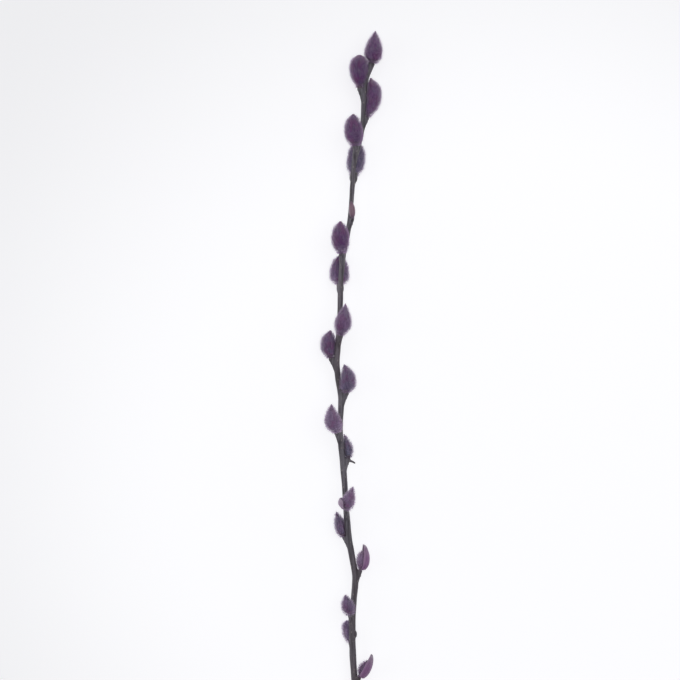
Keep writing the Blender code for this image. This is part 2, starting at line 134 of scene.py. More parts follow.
# The scales that opened buds keep. facing: where the middle looks, in degrees from straight out of the
# stem, towards the catkin's left. span: how far it wraps to each side. foot and top: its ends, as shares
# of the catkin's length. flare: how far its tip stands out. pale: how far its colours turn to its margin's.
Scale = namedtuple("Scale", "number facing span foot top flare pale")
BUD_SCALES = (
    Scale(14, 85, 60, -0.04, 0.36, 0.5, 0.5),
    Scale(16, 0, 85, 0.03, 1.32, 0.0, 0.0),
    Scale(19, 0, 85, 0.03, 1.40, 0.0, 0.0),
    Scale(20, 0, 75, 0.03, 0.90, 0.6, 0.2),
)
# How full a drop is below its belly, where 1 is a straight side and 2 a round one, and how much fuller
# it is on the side that it presses to the stem.
FOOT_FULLNESS = 2.4
PRESSED_DEPTH = 0.4
# A drop's neck: its radius next to its peg's, and the heights that it narrows away between.
NECK_SHARE = 0.95
NECK_HEIGHTS = (0.2, 2.0)
# A scale stands off its catkin by its clearance and narrows by a power to a share of its span, and its
# hem ends lower at the sides. Its thickness: at the margin, what its middle adds and its veins' height.
SCALE_CLEARANCE = 0.8
SCALE_TAPER = 2.2
SCALE_TIP_SHARE = 0.75
SCALE_HEM = 0.15
SCALE_THICKNESS = (0.10, 0.42, 0.03)
# Height, middle and width of a shut bud's keel and girdle, and how far its tip leans to the stem.
KEEL = (0.16, 0.0, 0.3)
GIRDLE = (0.05, 0.07, 0.02)
BUD_TIP_LEAN = 0.45
# Rows of bracts on a millimetre of length, bracts on one of breadth and depth, how many rows a bract
# reaches over and its half width.
BRACT_ROWS = 0.95
BRACTS_ROUND = 1.15
BRACT_REACH = 2.4
BRACT_HALF_WIDTH = 0.66

# A leaf stalk's stub under one catkin: its root and tip from that seat, its bend and its two radii.
STALK_UNDER = 13
STALK_ROOT = np.array((0.1, -1.0, 0.0))
STALK_TIP = np.array((3.0, -2.2, 0.1))
STALK_BEND = np.array((0.0, 0.25, 0.0))
STALK_RADII = (0.65, 0.35)

# Low swellings of the bark: their middles and their half sizes.
SWELLINGS = (
    ((0.85, 107.3, 5.6), (1.75, 2.6, 1.5)),
    ((2.20, 108.9, 6.0), (0.55, 0.6, 0.6)),
    ((-4.75, 60.8, 5.7), (1.60, 2.8, 1.5)),
    ((1.75, -84.8, 4.6), (0.60, 1.5, 0.7)),
)

# The photograph is 680 pixels square at 0.42 mm a pixel. Its centre is this far from the twig's origin.
PHOTO_PIXELS = 680
PIXEL = 0.42
PHOTO_CENTRE = (-4.83, 39.06)
# The camera's lens and sensor, and the height over the surface that is seen at that scale.
LENS = 100.0
SENSOR = 36.0
TWIG_HEIGHT = 6.5

# How near a piece comes to the surface, and how high the bark's ridges are.
FLOOR_CLEARANCE = 0.03
RIDGE_HEIGHT = 0.022
# The cut's wood: its radius next to the stem's, how far it is sunk in, stands out and is domed.
CUT_SHARE = 0.965
CUT_SUNK = 0.12
CUT_RAISED = 0.015
CUT_DOME = 0.05

# How far light runs inside a hair, in metres.
HAIR_GLOW = 0.0001
# How many more hairs a catkin's foot has than its girth there would carry, from where and up to where.
FOOT_HAIRS = (0.6, 0.0, 0.07)
# A hair's lift and reach: the least share of what is set, the range over it and what is lost at the tip.
LIFT_SHARES = (0.4, 0.9, 0.5)
REACH_SHARES = (0.5, 0.75, 0.7)
# How much further hairs turn out at the foot, in radians, and how far they stray, wave and are sunk in.
FOOT_LIFT = 0.95
STRAY = 0.7
WAVE = 0.12
ROOT_SUNK = 0.08
# Where a hair's middle lies, and the hairs that stand out and the longest hair, next to what is set.
HAIR_MIDDLE = 0.45
STANDS_OUT = 1.5
LONGEST_HAIR = 1.15

# The short stalk that carries a catkin, seen between its lowest hairs.
NECK_COLOUR = (0.13, 0.085, 0.10)
# How far the foot's and the tip's silk colour a catkin, and where its foot's colour ends, its middle's
# starts and ends, and its tip's starts.
FOOT_TINT = 0.95
TIP_TINT = 0.55
TINT_STOPS = (0.06, 0.26, 0.72, 0.97)

# Soft patches of another colour: blobs on a metre, their stretch, detail and turn, the levels of noise
# that they start and are full at, how much they cover and how much of the other colour they take.
Patch = namedtuple("Patch", "scale stretch detail turn low high cover tint", defaults=(1.0,))
RED_PATCHES = Patch(330.0, (1.0, 0.6, 1.0), 1.0, (0.0, 0.0, 0.0), 0.45, 0.54, 0.9, 0.6)
GREY_PATCHES = Patch(420.0, (1.0, 0.7, 1.0), 1.0, (0.7, 0.4, 1.1), 0.48, 0.57, 0.75, 0.55)
DARK_STREAKS = Patch(1300.0, (1.0, 0.3, 1.0), 2.0, (0.2, 0.1, 0.3), 0.45, 0.6, 0.6, 0.6)
BARK_FLUSH = Patch(60.0, (1.0, 0.5, 1.0), 2.0, (0.0, 0.0, 0.0), 0.45, 0.75, 0.5)
BARK_FLECKS = Patch(2600.0, (1.0, 0.35, 1.0), 2.0, (0.3, 0.0, 0.6), 0.35, 0.65, 0.35)
SCALE_BLOTCHES = Patch(420.0, (1.0, 0.6, 1.0), 2.0, (0.0, 0.0, 0.0), 0.42, 0.62, 0.35)

# The cut's colours from the pith to the bark, by share of its radius, and its dark grain.
CUT_STOPS = (
    (0.0, (0.42, 0.30, 0.18, 1.0)),
    (0.2, (0.36, 0.25, 0.14, 1.0)),
    (0.26, (0.62, 0.52, 0.34, 1.0)),
    (0.8, (0.56, 0.48, 0.30, 1.0)),
    (0.88, (0.26, 0.30, 0.12, 1.0)),
    (0.95, (0.10, 0.08, 0.06, 1.0)),
)
CUT_GRAIN = (0.30, 0.22, 0.13, 1.0)

# The surface: how far it reaches, the place that its glow is brightest round and the distances that it
# dims between, the two last in metres; the dimming is a painted falloff of light.
SURFACE_REACH = 3000.0
SURFACE_MIDDLE = (0.065, -0.015, 0.0)
SURFACE_DIMS = (0.125, 0.29)
# The soft lights: name, place and side in metres, and power next to the one that is set.
LIGHTS = (
    ("overhead", (0.25, 0.35, 1.1), 1.6, 1.0),
    ("from_left", (-1.1, 0.1, 0.6), 0.9, 0.35),
)
SKY_COLOUR = (0.97, 0.98, 1.0, 1.0)
# With a catkin's number added, where its random draws start.
SEED = 7


def smooth_step(x, low, high):
    """0 below low, 1 above high and an S between them, from 3t squared minus 2t cubed."""
    t = np.clip((x - low) / (high - low), 0.0, 1.0)
    return t * t * (3 - 2 * t)


def bell(x, height, middle, width):
    """The height at the middle, falling away on both sides: times e to minus the square of the distance
    in widths."""
    return height * np.exp(-(((x - middle) / width) ** 2))


def unit(vectors):
    """Vectors scaled to length 1."""
    return vectors / np.maximum(np.linalg.norm(vectors, axis=-1, keepdims=True), 1e-12)


def turned_to(vectors, away):
    """Vectors turned round where they point against others."""
    return vectors * np.sign(np.sum(vectors * away, -1, keepdims=True) + 1e-9)


def stem_centre(y):
    """The stem's centreline at distances y: a cubic between the table's rows, each row's slope taken
    across it."""
    y = np.asarray(y, float)
    last = len(STEM_PATH) - 1
    i = np.clip(np.searchsorted(STEM_PATH[:, 0], y, side="right") - 1, 0, last - 1)
    low, high = STEM_PATH[i], STEM_PATH[i + 1]
    before, after = STEM_PATH[np.maximum(i - 1, 0)], STEM_PATH[np.minimum(i + 2, last)]
    run = high[..., :1] - low[..., :1]
    t = (y[..., None] - low[..., :1]) / run
    slope_low = (high - before) / (high[..., :1] - before[..., :1]) * run
    slope_high = (after - low) / (after[..., :1] - low[..., :1]) * run
    value = (
        (2 * t**3 - 3 * t**2 + 1) * low
        + (t**3 - 2 * t**2 + t) * slope_low
        + (3 * t**2 - 2 * t**3) * high
        + (t**3 - t**2) * slope_high
    )
    return np.stack((value[..., 1], y, value[..., 2]), axis=-1)


def stem_radius(y):
    """The stem's radius at distances y, straight between the table's rows."""
    return np.interp(y, STEM_RADIUS[:, 0], STEM_RADIUS[:, 1])


class Seat:
    """A catkin's own frame. Its origin is the seat; the rows of turn are its left, its way out of the
    stem and its way to the tip."""

    def __init__(self, catkin):
        root = stem_centre(catkin.along)
        across, up = catkin.seat
        self.origin = root + np.array((across, 0.0, up))
        self.on_side = catkin.along < STEM_PATH[-1, 0]
        reach = np.array(catkin.reach)
        self.length = np.linalg.norm(reach)
        on = reach / self.length
        away = self.origin - root if self.on_side else np.array((0.0, 0.0, 1.0))
        out = unit(away - away.dot(on) * on)
        self.turn = np.stack((np.cross(out, on), out, on))
        self.peg_radius = PEG_SEAT_BASE + PEG_SEAT_SHARE * catkin.breadth

    def place(self, points):
        """Points of the catkin's own frame, in the twig's."""
        return points @ self.turn + self.origin


def fullness(u, form, stretch=1.0):
    """A drop's radius at share u of its length, 1 at the belly: below the belly a foot that is round where
    foot is 0.5 and a cone where it is 1, and above it a side that ends round where point is low and in a
    cone where it is 1. Stretch draws the form out."""
    belly = form.belly / stretch
    low = (1 - (1 - np.clip(u / belly, 0, 1)) ** FOOT_FULLNESS) ** form.foot
    high = (1 - np.clip((u - belly) / (1 - belly), 0, 1) ** form.side) ** form.point
    return low * high


def bowed(catkin, seat, u):
    """The catkin's centreline at shares u of its length, in its own frame: a parabola over its chord."""
    bow = np.where((u > 0) & (u < 1), catkin.bow * 4 * u * (1 - u), 0.0)
    return np.stack((np.zeros_like(u), bow, SEAT_GAP + seat.length * u), axis=-1)


def on_ellipse(angle, across, outward):
    """Points of a section's ellipse, with angle 0 straight out of the stem."""
    return np.stack((np.sin(angle) * across, np.cos(angle) * outward, np.zeros_like(angle)), axis=-1)


def clear_of_floor(points):
    """Points moved up where they would pass the surface that the twig lies on."""
    points[..., 2] = np.maximum(points[..., 2], FLOOR_CLEARANCE)
    return points


def off_the_bark(points, seat, margin):
    """Points moved out of the stem, the way the catkin looks out of it, where they would lie nearer to
    the bark than the margin, or behind it."""
    if not seat.on_side:
        return points
    out = unit(seat.turn[1] * np.array((1.0, 0.0, 1.0)))
    away = points - stem_centre(points[..., 1])
    beside = away @ np.cross(out, (0.0, 1.0, 0.0))
    least = stem_radius(points[..., 1]) + margin
    needed = np.sqrt(np.maximum(least**2 - beside**2, 0.0))
    move = np.where(points[..., 1] < STEM_PATH[-1, 0], np.maximum(needed - away @ out, 0.0), 0.0)
    return points + out * move[..., None]


def tube_faces(rows, columns):
    """The quads of a closed ring grid and the triangles that close its ends on two extra points."""
    r, c = np.meshgrid(np.arange(rows - 1), np.arange(columns), indexing="ij")
    n = (c + 1) % columns
    quads = np.stack((r * columns + c, r * columns + n, (r + 1) * columns + n, (r + 1) * columns + c), -1)
    c = np.arange(columns)
    n = (c + 1) % columns
    low, high = rows * columns, rows * columns + 1
    first = np.stack((np.full(columns, low), n, c), -1)
    top = (rows - 1) * columns
    last = np.stack((np.full(columns, high), top + c, top + n), -1)
    return quads.reshape(-1, 4), np.concatenate((first, last))


def linked(name, data):
    """A new object of the scene that shows the data."""
    thing = bpy.data.objects.new(name, data)
    bpy.context.scene.collection.objects.link(thing)
    return thing


def make_mesh(name, points, quads, triangles, attributes=None):
    """A smooth mesh object from whole arrays, in metres, with a float attribute for each named array."""
    mesh = bpy.data.meshes.new(name)
    mesh.vertices.add(len(points))
    mesh.vertices.foreach_set("co", (points * MM).astype(np.float32).ravel())
    corners = np.concatenate((quads.ravel(), triangles.ravel())).astype(np.int32)
    starts = np.concatenate((np.arange(len(quads)) * 4, len(quads) * 4 + np.arange(len(triangles)) * 3))
    mesh.loops.add(len(corners))
    mesh.loops.foreach_set("vertex_index", corners)
    mesh.polygons.add(len(starts))
    mesh.polygons.foreach_set("loop_start", starts.astype(np.int32))
    mesh.update(calc_edges=True)
    mesh.shade_smooth()
    for key, values in (attributes or {}).items():
        layer = mesh.attributes.new(key, "FLOAT", "POINT")
        layer.data.foreach_set("value", values.astype(np.float32).ravel())
    return linked(name, mesh)


def tube_points(path, radii, sides):
    """A ring of points round each point of a path that runs mostly along Y, and the path's two ends."""
    ahead = unit(np.gradient(path, axis=0))
    right = unit(np.cross(ahead, (0.0, 0.0, 1.0)))
    up = np.cross(right, ahead)
    angle = np.arange(sides) / sides * math.tau
    ring = right[:, None] * np.cos(angle)[None, :, None] - up[:, None] * np.sin(angle)[None, :, None]
    points = path[:, None] + ring * radii[:, None, None]
    return np.concatenate((points.reshape(-1, 3), path[:1], path[-1:]))


class Shader:
    """A socket that ordinary arithmetic works on. An expression on values adds its Math nodes."""

    def __init__(self, tree, socket):
        self.tree = tree
        self.socket = socket

    def node(self, kind, settings=None, sockets=None, out=0):
        """A new node of a kind, its settings made first, its sockets then given values or links."""
        made = self.tree.nodes.new(kind)
        for key, value in (settings or {}).items():
            if key == "stops":
                ramp = made.color_ramp.elements
                while len(ramp) < len(value):
                    ramp.new(0.5)
                for stop, (position, colour) in zip(ramp, value):
                    stop.position = position
                    stop.color = colour
            else:
                setattr(made, key, value)
        for key, value in (sockets or {}).items():
            if isinstance(value, Shader):
                self.tree.links.new(value.socket, made.inputs[key])
            else:
                made.inputs[key].default_value = value
        return Shader(self.tree, made.outputs[out])

    def math(self, operation, first, second=0.0):
        """A Math node's result for one or two values."""
        return self.node("ShaderNodeMath", {"operation": operation}, {0: first, 1: second})

    def __add__(self, other):
        return self.math("ADD", self, other)

    def __sub__(self, other):
        return self.math("SUBTRACT", self, other)

    def __rsub__(self, other):
        return self.math("SUBTRACT", other, self)

    def __mul__(self, other):
        return self.math("MULTIPLY", self, other)

    def __pow__(self, other):
        return self.math("POWER", self, other)

    __radd__ = __add__
    __rmul__ = __mul__

    def between(self, low, high):
        """This value stretched so that low reads 0 and high reads 1, and held between them."""
        return self.node("ShaderNodeMapRange", None, {0: self, 1: low, 2: high})

    def mix(self, first, second):
        """The first colour where this value is 0, and the second where it is 1."""
        return self.node("ShaderNodeMix", {"data_type": "RGBA"}, {0: self, 6: first, 7: second}, 2)


def rgba(colour):
    """A colour with full alpha."""
    return (*colour, 1.0)


class Finish:
    """A material with one Principled shader, whose constant sockets are set directly."""

    def __init__(self, name, **constants):
        self.material = bpy.data.materials.new(name)
        self.material.use_nodes = True
        self.tree = self.material.node_tree
        self.shader = self.tree.nodes["Principled BSDF"]
        for key, value in constants.items():
            self.shader.inputs[key.replace("_", " ")].default_value = value
        self.start = Shader(self.tree, None)

    def feed(self, socket, value):
        """Links a value or colour to one of the shader's sockets."""
        self.tree.links.new(value.socket, self.shader.inputs[socket])

    def attribute(self, name):
        """A value that the mesh carries at its points."""
        return self.start.node("ShaderNodeAttribute", {"attribute_name": name}, None, 2)

    def coordinates(self):
        """The piece's own coordinates."""
        return self.start.node("ShaderNodeTexCoord", None, None, 3)

    def mapped(self, stretch, turn=(0.0, 0.0, 0.0)):
        """The piece's own coordinates, turned and stretched."""
        return self.start.node("ShaderNodeMapping", None, {0: self.coordinates(), 2: turn, 3: stretch})

    def noise(self, scale, stretch=(1.0, 1.0, 1.0), detail=3.0, turn=(0.0, 0.0, 0.0)):
        """Noise on the piece's own coordinates, in blobs of 1 / scale metres, stretched along an axis."""
        sockets = {"Vector": self.mapped(stretch, turn), "Scale": scale, "Detail": detail}
        return self.start.node("ShaderNodeTexNoise", None, sockets)

    def patches(self, patch):
        """Noise that reads 0 between patches and 1 where they are full."""
        noise = self.noise(patch.scale, patch.stretch, patch.detail, patch.turn)
        return noise.between(patch.low, patch.high)

    def ramp(self, stops, value):
        """The colour that a value picks from a row of stops."""
        return self.start.node("ShaderNodeValToRGB", {"stops": stops}, {0: value})

    def bump(self, height, distance, strength=1.0):
        """Feeds a height, in metres times distance, to the shader's normal."""
        sockets = {"Height": height, "Distance": distance, "Strength": strength}
        self.feed("Normal", self.start.node("ShaderNodeBump", None, sockets))


def blend(first, second, share):
    """A colour between two others, worked out here because it is the same all over a piece."""
    return tuple(a + (b - a) * share for a, b in zip(first, second))


def tints(catkin, settings):
    """A catkin's colours at its foot, its middle and its tip."""
    # The middle turns towards grey violet partly by the catkin's own greyer tone and partly as painted shade.
    middle = blend(blend(settings.plum, settings.dusk, catkin.dusk), settings.lilac, catkin.pale)
    foot = blend(middle, settings.foot_silk, FOOT_TINT * catkin.fringe)
    end = blend(middle, settings.tip_silk, TIP_TINT)
    return foot, middle, end


def patched(made, catkin, settings):
    """The catkin's colour by how far up it a point is, with soft patches a few millimetres wide, some
    redder and some greyer, and dark streaks."""
    foot, middle, end = tints(catkin, settings)
    stops = tuple(zip(TINT_STOPS, (rgba(foot), rgba(middle), rgba(middle), rgba(end))))
    colour = made.ramp(stops, made.attribute("along"))
    for patch, other in (
        (RED_PATCHES, settings.blush),
        (GREY_PATCHES, settings.dusk),
        (DARK_STREAKS, settings.bract_shade),
    ):
        colour = (made.patches(patch) * patch.cover).mix(colour, rgba(blend(middle, other, patch.tint)))
    return colour


def silk_finish(catkin, settings):
    """Hair: deep at its root, pale at its tip and where it stands out, shaded over the bracts' tips, and
    paler at the foot by the catkin's fringe. The pale tips and the paler long hairs are partly the silk's own
    colour and partly a painted glow of backlight at the catkins' rims."""
    made = Finish(
        f"silk_{catkin.number:02d}", Roughness=0.5, Sheen_Weight=0.3,
        Subsurface_Weight=1.0, Subsurface_Radius=(1.0, 1.0, 1.0), Subsurface_Scale=HAIR_GLOW,
    )
    middle = tints(catkin, settings)[1]
    strand = made.attribute("strand")
    pick = made.attribute("pick")
    over_tip = made.attribute("bract_tip").between(0.5, 0.95) * 0.75
    shade = rgba(blend(middle, settings.bract_shade, 0.8))
    body = over_tip.mix(patched(made, catkin, settings), shade)
    # Pale tips and paler long hairs: partly the silk's own colour, partly a painted glow of backlight.
    by_pick = strand ** 0.8 * (0.3 + pick * 0.4)
    long_hairs_pale_and_painted_glow = pick.between(0.88, 0.94) * strand * 0.3
    at_foot = made.attribute("along").between(0.14, 0.02) * (0.45 * catkin.fringe) * strand
    tip = rgba(blend(settings.hair_tip_and_painted_glow, middle, 0.32))
    made.feed("Base Color", (by_pick + long_hairs_pale_and_painted_glow + at_foot).mix(body, tip))
    return made.material


def bract_finish(catkin, settings):
    """The bracts under the silk: plum, darker towards their tips and on the neck, with fine fibres."""
    made = Finish(f"bracts_{catkin.number:02d}", Roughness=0.7, Sheen_Weight=0.3)
    dark = rgba(blend(tints(catkin, settings)[1], settings.bract_shade, 0.7))
    at_tip = made.attribute("bract_tip").between(0.55, 1.0) * 0.55
    darkened = at_tip.mix(patched(made, catkin, settings), dark)
    neck = made.attribute("along").between(0.12, 0.04) * (0.85 - 0.7 * catkin.fringe)
    made.feed("Base Color", neck.mix(darkened, rgba(NECK_COLOUR)))
    made.bump(made.noise(1500.0, (1.0, 0.25, 1.0)), 0.0001, 0.5)
    return made.material


def bark_finish(settings):
    """Young bark: grey brown with lengthwise streaks, fine pale lenticels and a plum flush."""
    made = Finish("bark", Roughness=0.5)
    streaks = made.noise(900.0, (1.0, 0.06, 1.0), 4.0)
    streaked = streaks.between(0.40, 0.62).mix(rgba(settings.bark_dark), rgba(settings.bark_light))
    flushed = (made.patches(BARK_FLUSH) * BARK_FLUSH.cover).mix(streaked, rgba(settings.bark_flush))
    flecks = made.patches(BARK_FLECKS)
    flecked = (flecks * BARK_FLECKS.cover).mix(flushed, rgba(settings.bark_dark))
    sockets = {"Vector": made.mapped((1.0, 0.5, 1.0)), "Scale": 800.0}
    spots = made.start.node("ShaderNodeTexVoronoi", None, sockets)
    lenticels = 1 - spots.between(0.12, 0.22)
    made.feed("Base Color", (lenticels * 0.65).mix(flecked, rgba(settings.lenticel)))
    made.feed("Roughness", 0.42 + streaks * 0.25)
    made.bump(streaks * 0.8 + lenticels * 0.6 + flecks * 0.3, 0.00016, 0.9)
    return made.material


def cut_finish():
    """The slanted cut: pale wood with rings, a pith in the middle and a thin green line by the bark."""
    made = Finish("cut_wood", Roughness=0.75)
    grain = made.noise(2500.0)
    rings = made.ramp(CUT_STOPS, made.attribute("out_from_pith"))
    made.feed("Base Color", (grain * 0.35).mix(rings, CUT_GRAIN))
    made.bump(grain, 0.0001, 0.6)
    return made.material


def scale_finish(scale, settings):
    """A dry bud scale: papery, veined up its length, with dark flecks and blotches and a pale thin
    margin."""
    made = Finish(f"bud_scale_{scale.number:02d}", Roughness=0.5)
    foot, tip, vein = (
        rgba(blend(colour, settings.scale_margin, scale.pale))
        for colour in (settings.scale_foot, settings.scale_tip, settings.scale_vein)
    )
    across = made.attribute("across")
    flecks = made.noise(1200.0, (1.0, 0.3, 1.0))
    body = made.attribute("along").between(0.5, 1.05).mix(foot, tip)
    ridge = made.start.math("SINE", across * math.tau * 4.5)
    blotches = made.patches(SCALE_BLOTCHES) * SCALE_BLOTCHES.cover
    marked = (flecks * 0.5 + ridge * 0.12 + blotches).mix(body, vein)
    margin = (across ** 6.0).between(0.2, 0.9) * 0.3
    made.feed("Base Color", margin.mix(marked, rgba(settings.scale_margin)))
    made.bump(ridge * 0.5 + flecks, 0.00012, 0.6)
    return made.material


def bud_finish(settings):
    """A shut bud's scale: smooth and waxy, pinkish brown, darker at its tip and at its foot."""
    made = Finish("shut_bud", Roughness=0.38, Coat_Weight=0.15)
    dark, body = rgba(settings.bark_dark), rgba(settings.bud_colour)
    shaded = made.ramp(((0.0, dark), (0.2, body), (0.75, body), (1.0, dark)), made.attribute("along"))
    streaks = made.noise(1500.0, (1.0, 0.12, 1.0))
    made.feed("Base Color", (streaks * 0.45).mix(shaded, rgba(settings.scale_foot)))
    made.bump(streaks, 0.0001, 0.5)
    return made.material


def floor_finish(settings):
    """The pale surface, lit a little from within as a light table is, and dimmer towards its edges: a painted
    falloff of light.
    """
    made = Finish("pale_surface", Roughness=0.9, Emission_Strength=settings.floor_glow)
    sockets = {0: made.coordinates(), 1: SURFACE_MIDDLE}
    away = made.start.node("ShaderNodeVectorMath", {"operation": "DISTANCE"}, sockets, 1)
    near, far = SURFACE_DIMS
    smooth = {"interpolation_type": "SMOOTHSTEP"}
    painted_falloff = away.node("ShaderNodeMapRange", smooth, {0: away, 1: near, 2: far})
    edge = rgba([c * settings.floor_edge for c in settings.floor_colour])
    made.feed("Emission Color", painted_falloff.mix(rgba(settings.floor_colour), edge))
    pale = [c * 0.38 for c in settings.floor_colour]
    clouds = made.noise(3.0, detail=1.0)
    made.feed("Base Color", clouds.mix(rgba(pale), rgba([c * 0.97 for c in pale])))
    return made.material


def peg_run(catkin, seat, t):
    """A peg's centre and radius at shares t of its run: it leaves the stem's centreline by a power of t,
    and its radius grows evenly to the seat."""
    y = catkin.along - PEG_RUN * (1 - t)
    offset = seat.origin - stem_centre(catkin.along)
    root = stem_radius(y) * PEG_ROOT_SHARE
    centre = stem_centre(y) + offset * np.asarray(t)[..., None] ** PEG_FLARE
    return centre, root + (seat.peg_radius - root) * t


def peg_tube(catkin, sides=20, rings=22):
    """A peg's skin: its run, which swells in a low collar and closes in a dome."""
    seat = Seat(catkin)
    t = np.linspace(0.0, 1.0, rings)
    path, radii = peg_run(catkin, seat, t)
    radii = radii * (1 + bell(t, *COLLAR))
    top = seat.origin + seat.turn[2] * np.array((-PEG_DOME, 0.0))[:, None]
    path = np.concatenate((path[:-1], top))
    radii = np.concatenate((radii[:-1], seat.peg_radius * np.array(PEG_DOME_SHARES)))
    return tube_points(path, radii, sides), tube_faces(len(path), sides)


def ball(middle, pole, first, second, sides=16, rings=9):
    """A ball drawn out to three half axes, with its poles on the first of them."""
    lift = np.linspace(0, math.pi, rings + 2)[1:-1, None, None]
    turn = (np.arange(sides) / sides * math.tau)[None, :, None]
    round_it = first * np.cos(turn) + second * np.sin(turn)
    points = (pole * np.cos(lift) + round_it * np.sin(lift)).reshape(-1, 3)
    return np.concatenate((points, (pole, -pole))) + middle, tube_faces(rings, sides)


def leaf_scar(catkin):
    """A low bump where a leaf stood, under a catkin on the peg's outer side: a ball flattened on the
    bark and drawn out across it."""
    seat = Seat(catkin)
    centre, radius = peg_run(catkin, seat, 1 - SCAR_UNDER_SEAT / PEG_RUN)
    out = unit((seat.origin - stem_centre(catkin.along)) * np.array((1.0, 0.0, 1.0)))
    thick, wide, tall = SCAR_SIZES
    centre = centre + out * radius * 0.9
    return ball(centre, out * thick, np.cross(out, (0.0, 1.0, 0.0)) * wide, np.array((0.0, tall, 0.0)))


def swelling(middle, half_sizes):
    """A ball drawn out to three half sizes, with its poles along the twig."""
    x, y, z = np.diag(half_sizes)
    return ball(np.array(middle), y, x, z)


def axil_fill(catkin):
    """The little cushion that closes the corner between a peg and the stem, half under the seat."""
    seat = Seat(catkin)
    centre = stem_centre(catkin.along)
    outward = seat.origin - centre
    gap = np.linalg.norm(outward) - seat.peg_radius - stem_radius(catkin.along)
    middle = centre + unit(outward) * (stem_radius(catkin.along) + gap / 2) - np.array((0.0, 0.7, 0.0))
    radius = max(gap / 2 + 0.25, 0.45) * 1.1
    return swelling(middle, (radius, 1.2, radius))


def stalk_stub(sides=14, rings=7):
    """A leaf stalk's dry stub: a tube on a parabola over the line from its root to its tip."""
    seat = Seat(next(catkin for catkin in CATKINS if catkin.number == STALK_UNDER))
    t = np.linspace(0, 1, rings)[:, None]
    root, tip = seat.origin + STALK_ROOT, seat.origin + STALK_TIP
    path = root + (tip - root) * t + STALK_BEND * 4 * t * (1 - t)
    thick, thin = STALK_RADII
    return tube_points(path, thick + (thin - thick) * t[:, 0], sides), tube_faces(rings, sides)


def joined(parts):
    """Several tubes' points and faces as one set of arrays."""
    points, quads, triangles, count = [], [], [], 0
    for some_points, (some_quads, some_triangles) in parts:
        points.append(some_points)
        quads.append(some_quads + count)
        triangles.append(some_triangles + count)
        count += len(some_points)
    return np.concatenate(points), np.concatenate(quads), np.concatenate(triangles)


def bark_parts(sides=24):
    """The closed tubes and balls that the bark is melted from: the stem, then a peg, a leaf scar and a
    cushion for each catkin and bud on its side, the low swellings and the stalk stub."""
    y = np.arange(STEM_PATH[0, 0], STEM_PATH[-1, 0] + 0.5, 1.0)
    y[-1] = STEM_PATH[-1, 0]
    on_pegs = CATKINS[1:] + SHUT_BUDS
    swell = sum(bell(one.along - y, *STEM_SWELL) for one in on_pegs)
    parts = [(tube_points(stem_centre(y), stem_radius(y) + swell, sides), tube_faces(len(y), sides))]
    for catkin in on_pegs:
        parts.extend((peg_tube(catkin), leaf_scar(catkin), axil_fill(catkin)))
    parts.extend(swelling(*one) for one in SWELLINGS)
    parts.append(stalk_stub())
    return parts


def melted(parts, voxel):
    """Closed tubes as one skin, by a voxel remesh, then smoothed."""
    rough = make_mesh("bark_rough", *joined(parts))
    melt = rough.modifiers.new("melt", "REMESH")
    melt.mode = "VOXEL"
    melt.voxel_size = voxel
    ease = rough.modifiers.new("ease", "SMOOTH")
    ease.factor = 0.5
    ease.iterations = 4
    skin = bmesh.new()
    skin.from_mesh(rough.evaluated_get(bpy.context.evaluated_depsgraph_get()).to_mesh())
    bpy.data.objects.remove(rough)
    return skin


def cut_centre():
    """The middle of the slanted cut, on the stem's centreline."""
    return stem_centre(STEM_PATH[0, 0]) + np.array((0, CUT_INSET, 0))


def cut_on_the_slant(skin):
    """Takes off what lies past the slanted cut and closes the skin there."""
    everything = list(skin.verts) + list(skin.edges) + list(skin.faces)
    bmesh.ops.bisect_plane(
        skin, geom=everything, dist=1e-7, plane_co=cut_centre() * MM, plane_no=CUT_NORMAL, clear_outer=True
    )
    bmesh.ops.edgenet_fill(skin, edges=[edge for edge in skin.edges if edge.is_boundary])
    bmesh.ops.recalc_face_normals(skin, faces=list(skin.faces))


def vertex_values(mesh, key):
    """What a mesh keeps for its vertices, as rows of three."""
    values = np.zeros(len(mesh.vertices) * 3, np.float32)
    mesh.vertices.foreach_get(key, values)
    return values.reshape(-1, 3)


def bark_ridges(x, along, z):
    """Faint ridges along the twig: the product of a sine across it, which drifts slowly along it, and a
    sine up it, with a finer slanting sine added. The waves are given in radians a millimetre."""
    drift = 1.4 * np.sin(0.31 * along) + 0.05 * along
    coarse = np.sin(5.1 * x + drift) * np.sin(4.3 * z - 0.04 * along + 1.3)
    return coarse + 0.6 * np.sin(9.7 * x + 7.9 * z + 0.08 * along)


def build_bark(settings):
    """The stem with its pegs, leaf scars and stalk stub: closed tubes melted into one skin, cut on the
    slant and raised in faint ridges that fade out at the cut."""
    skin = melted(bark_parts(), settings.bark_voxel)
    cut_on_the_slant(skin)
    mesh = bpy.data.meshes.new("bark")
    skin.to_mesh(mesh)
    skin.free()

    places, normals = (vertex_values(mesh, key) for key in ("co", "normal"))
    places = places / MM
    start = STEM_PATH[0, 0]
    raised = RIDGE_HEIGHT * bark_ridges(*places.T) * smooth_step(places[:, 1], start + 3.0, start + 5.0)
    places = places + normals * raised[:, None]
    mesh.vertices.foreach_set("co", (places * MM).astype(np.float32).ravel())
    mesh.update()
    mesh.shade_smooth()
    mesh.set_sharp_from_angle(angle=math.radians(50))
    mesh.materials.append(bark_finish(settings))
    return linked("bark", mesh)


def closed_piece(name, points, grid, carried, finish):
    """A closed piece on a ring grid of so many rows and columns, its faces turned outwards."""
    piece = make_mesh(name, points, *tube_faces(*grid), carried)
    outwards(piece)
    piece.data.materials.append(finish)
    return piece


